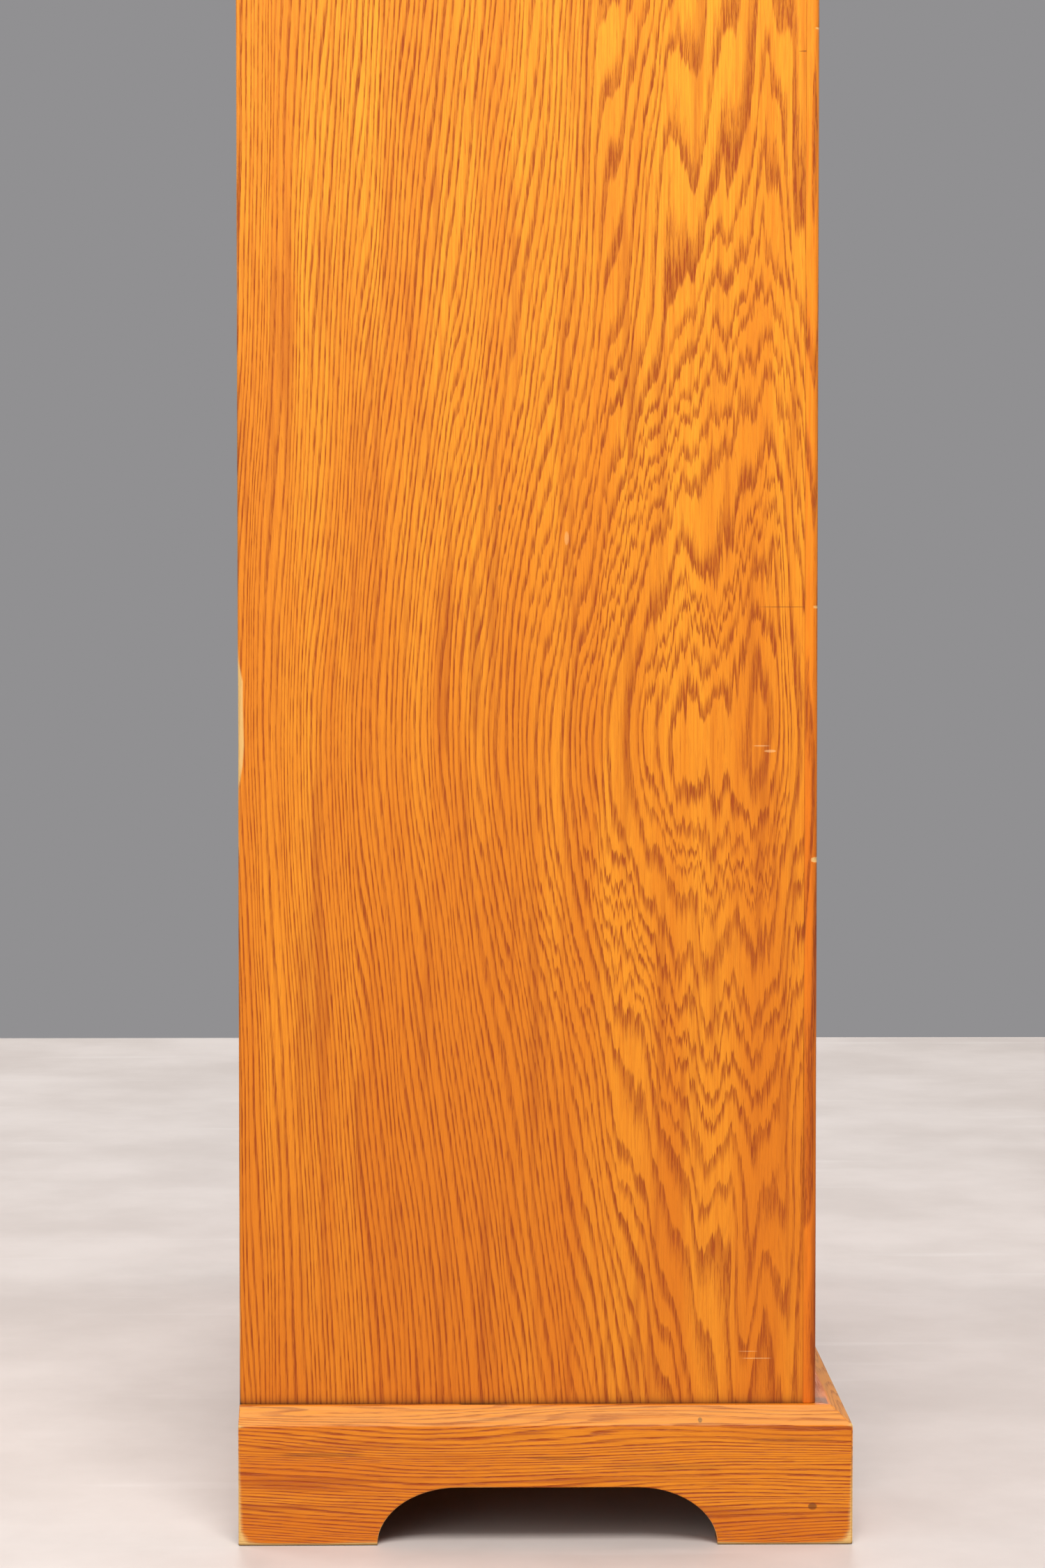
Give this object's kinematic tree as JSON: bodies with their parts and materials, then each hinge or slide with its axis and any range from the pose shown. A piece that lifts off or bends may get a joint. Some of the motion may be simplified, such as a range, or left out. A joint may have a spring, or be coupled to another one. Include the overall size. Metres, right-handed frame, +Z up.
{
  "type": "barrister bookcase",
  "caption": "Tall oak barrister bookcase on an arched plinth, with glazed doors that lift and run back over the shelves on brass studs.",
  "frame": {"origin": "on the floor under the middle of the outer box", "axes": "+Z up, doors face -Y, +X to the right of someone who faces the doors"},
  "size_m": [0.92, 0.35, 1.472],
  "materials": {
    "oak": "honey oak veneer under worn satin varnish",
    "oak_edging": "redder solid oak, satin varnish, worn arrises",
    "oak_plinth": "oak with the grain along the board, satin varnish, knocked edges",
    "oak_door": "solid oak door frames, satin varnish",
    "oak_inside": "plain oak, thinly finished",
    "glass": "clear flat glass",
    "brass": "aged brass, lacquer worn",
    "steel": "plain steel wood screws"
  },
  "bodies": {
    "case": {"side_left": "oak", "side_right": "oak", "lipping_left": "oak_edging", "lipping_right": "oak_edging", "shelf_lippings": "oak_edging", "bottom_board": "oak", "shelf_1": "oak", "shelf_2": "oak", "shelf_3": "oak", "carcass_top": "oak", "back_panel": "oak_inside", "back_screws": "brass", "top_panel": "oak", "top_edge_front": "oak_edging", "top_edge_left": "oak_edging", "top_edge_right": "oak_edging", "top_screws": "steel", "plinth_front": "oak_plinth", "plinth_left": "oak_plinth", "plinth_right": "oak_plinth", "plinth_back": "oak_inside", "corner_blocks": "oak_inside", "plinth_screws": "steel", "door_stops": "oak_inside"},
    "runner_1": {"door_1_pivots": "brass"},
    "door_1": {"door_1_stile_left": "oak_door", "door_1_stile_right": "oak_door", "door_1_rail_top": "oak_door", "door_1_rail_bottom": "oak_door", "door_1_glass": "glass", "door_1_beads": "oak_edging", "door_1_knobs": "brass", "door_1_bushes": "brass"},
    "runner_2": {"door_2_pivots": "brass"},
    "door_2": {"door_2_stile_left": "oak_door", "door_2_stile_right": "oak_door", "door_2_rail_top": "oak_door", "door_2_rail_bottom": "oak_door", "door_2_glass": "glass", "door_2_beads": "oak_edging", "door_2_knobs": "brass", "door_2_bushes": "brass"},
    "runner_3": {"door_3_pivots": "brass"},
    "door_3": {"door_3_stile_left": "oak_door", "door_3_stile_right": "oak_door", "door_3_rail_top": "oak_door", "door_3_rail_bottom": "oak_door", "door_3_glass": "glass", "door_3_beads": "oak_edging", "door_3_knobs": "brass", "door_3_bushes": "brass"},
    "runner_4": {"door_4_pivots": "brass"},
    "door_4": {"door_4_stile_left": "oak_door", "door_4_stile_right": "oak_door", "door_4_rail_top": "oak_door", "door_4_rail_bottom": "oak_door", "door_4_glass": "glass", "door_4_beads": "oak_edging", "door_4_knobs": "brass", "door_4_bushes": "brass"}
  },
  "joints": [
    {"name": "door_1_slide", "type": "slide", "parent": "case", "child": "runner_1", "axis": [0, 1, 0], "range_m": [0, 0.238]},
    {"name": "door_1_lift", "type": "hinge", "parent": "runner_1", "child": "door_1", "pos_m": [0, -0.125, 0.4025], "axis": [-1, 0, 0], "range_deg": [0, 90]},
    {"name": "door_2_slide", "type": "slide", "parent": "case", "child": "runner_2", "axis": [0, 1, 0], "range_m": [0, 0.238]},
    {"name": "door_2_lift", "type": "hinge", "parent": "runner_2", "child": "door_2", "pos_m": [0, -0.125, 0.7405], "axis": [-1, 0, 0], "range_deg": [0, 90]},
    {"name": "door_3_slide", "type": "slide", "parent": "case", "child": "runner_3", "axis": [0, 1, 0], "range_m": [0, 0.238]},
    {"name": "door_3_lift", "type": "hinge", "parent": "runner_3", "child": "door_3", "pos_m": [0, -0.125, 1.0785], "axis": [-1, 0, 0], "range_deg": [0, 90]},
    {"name": "door_4_slide", "type": "slide", "parent": "case", "child": "runner_4", "axis": [0, 1, 0], "range_m": [0, 0.238]},
    {"name": "door_4_lift", "type": "hinge", "parent": "runner_4", "child": "door_4", "pos_m": [0, -0.125, 1.4165], "axis": [-1, 0, 0], "range_deg": [0, 90]}
  ],
  "couplings": [
    {"joint": "door_1_slide", "follows": "door_1_lift", "m_per_rad": 0.15152},
    {"joint": "door_2_slide", "follows": "door_2_lift", "m_per_rad": 0.15152},
    {"joint": "door_3_slide", "follows": "door_3_lift", "m_per_rad": 0.15152},
    {"joint": "door_4_slide", "follows": "door_4_lift", "m_per_rad": 0.15152}
  ]
}
